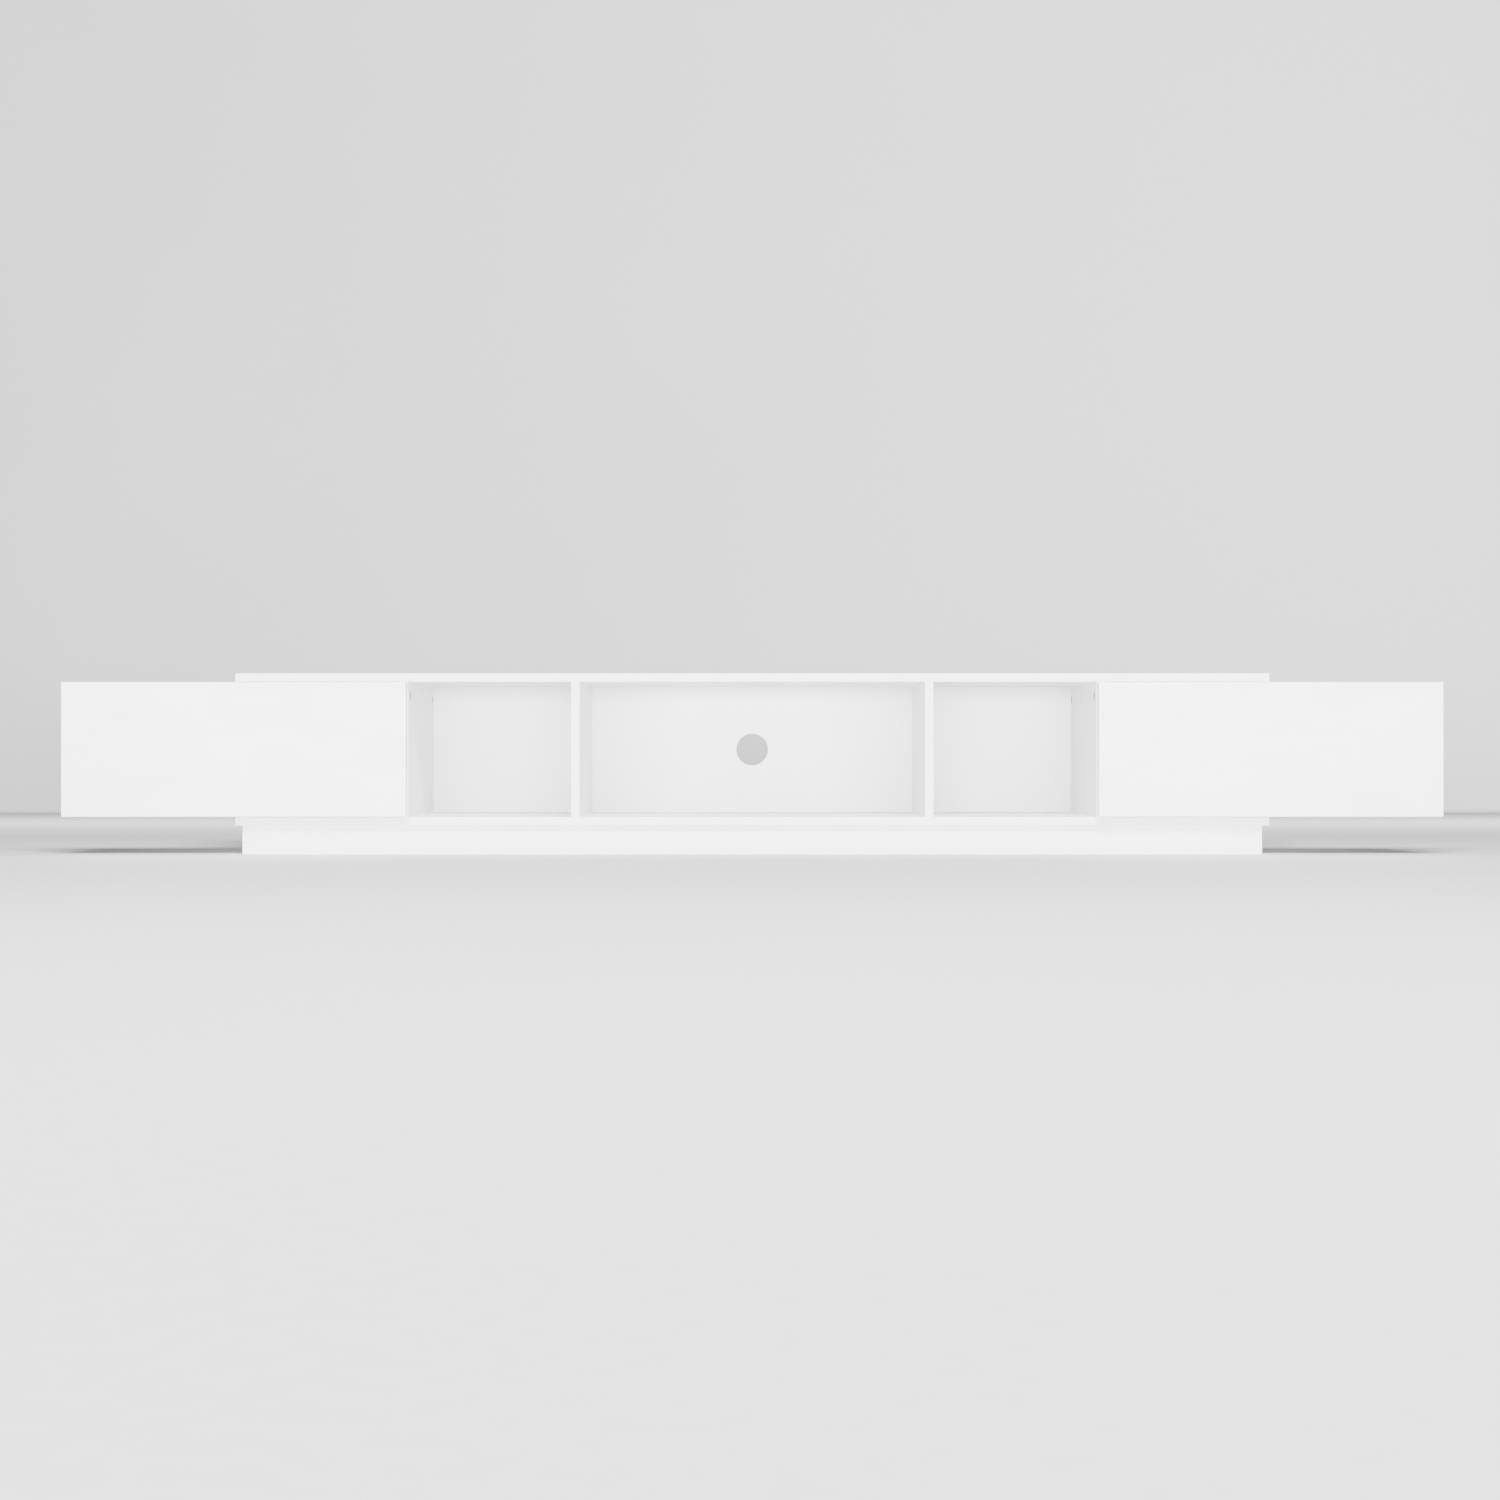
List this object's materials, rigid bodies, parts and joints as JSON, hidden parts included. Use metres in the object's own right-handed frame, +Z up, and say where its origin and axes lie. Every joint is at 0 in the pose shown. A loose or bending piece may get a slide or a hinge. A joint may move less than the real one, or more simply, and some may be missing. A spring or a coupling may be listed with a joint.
{
  "type": "tv stand",
  "caption": "Long low white tv stand on a recessed plinth: open bays, a cable hole in the middle back, and handle-less doors on knife hinges that fold back flat.",
  "frame": {"origin": "on the floor, under the middle of the carcass's footprint (1800 by 400 mm), at the underside of the plinth's middle brace", "axes": "+X to the right seen from the front, +Y to the back, +Z up; the front faces -Y"},
  "size_m": [2.398, 0.417, 0.315],
  "materials": {
    "white_board": "white satin melamine face on particle board, rounded edge banding",
    "white_door": "white satin lacquer on fibre board",
    "white_back": "white printed thin fibre board",
    "white_metal": "white powder coat",
    "zinc_steel": "bright zinc plate",
    "plain_steel": "ground",
    "cam_zinc": "tumbled die-cast zinc",
    "white_nylon": "natural nylon",
    "beech": "fluted beech, unfinished"
  },
  "bodies": {
    "root": {"top_panel": "white_board", "bottom_panel": "white_board", "left_side_panel": "white_board", "right_side_panel": "white_board", "left_outer_divider": "white_board", "right_outer_divider": "white_board", "left_inner_divider": "white_board", "right_inner_divider": "white_board", "left_end_back": "white_back", "left_back": "white_back", "centre_back": "white_back", "right_back": "white_back", "right_end_back": "white_back", "plinth_front_rail": "white_board", "plinth_back_rail": "white_board", "plinth_left_end": "white_board", "plinth_right_end": "white_board", "plinth_left_brace": "white_board", "plinth_centre_brace": "white_board", "plinth_right_brace": "white_board", "frame_hinge_leaves": "white_metal", "frame_leaf_screws": "zinc_steel", "hinge_pins": "plain_steel", "hinge_washers": "white_nylon", "cam_locks": "cam_zinc", "cam_bolts": "zinc_steel", "wood_dowels": "beech", "long_screws": "zinc_steel", "plinth_dowels": "beech", "plinth_brackets": "zinc_steel", "bracket_screws": "zinc_steel"},
    "left_door": {"left_door_panel": "white_door", "left_door_hinge_leaves": "white_metal", "left_door_leaf_screws": "zinc_steel"},
    "right_door": {"right_door_panel": "white_door", "right_door_hinge_leaves": "white_metal", "right_door_leaf_screws": "zinc_steel"}
  },
  "joints": [
    {"name": "left_door_hinge", "type": "hinge", "parent": "root", "child": "left_door", "pos_m": [-0.6, -0.2095, 0.1825], "axis": [0, 0, 1], "range_deg": [0, 180]},
    {"name": "right_door_hinge", "type": "hinge", "parent": "root", "child": "right_door", "pos_m": [0.6, -0.2095, 0.1825], "axis": [0, 0, 1], "range_deg": [-180, 0]}
  ]
}
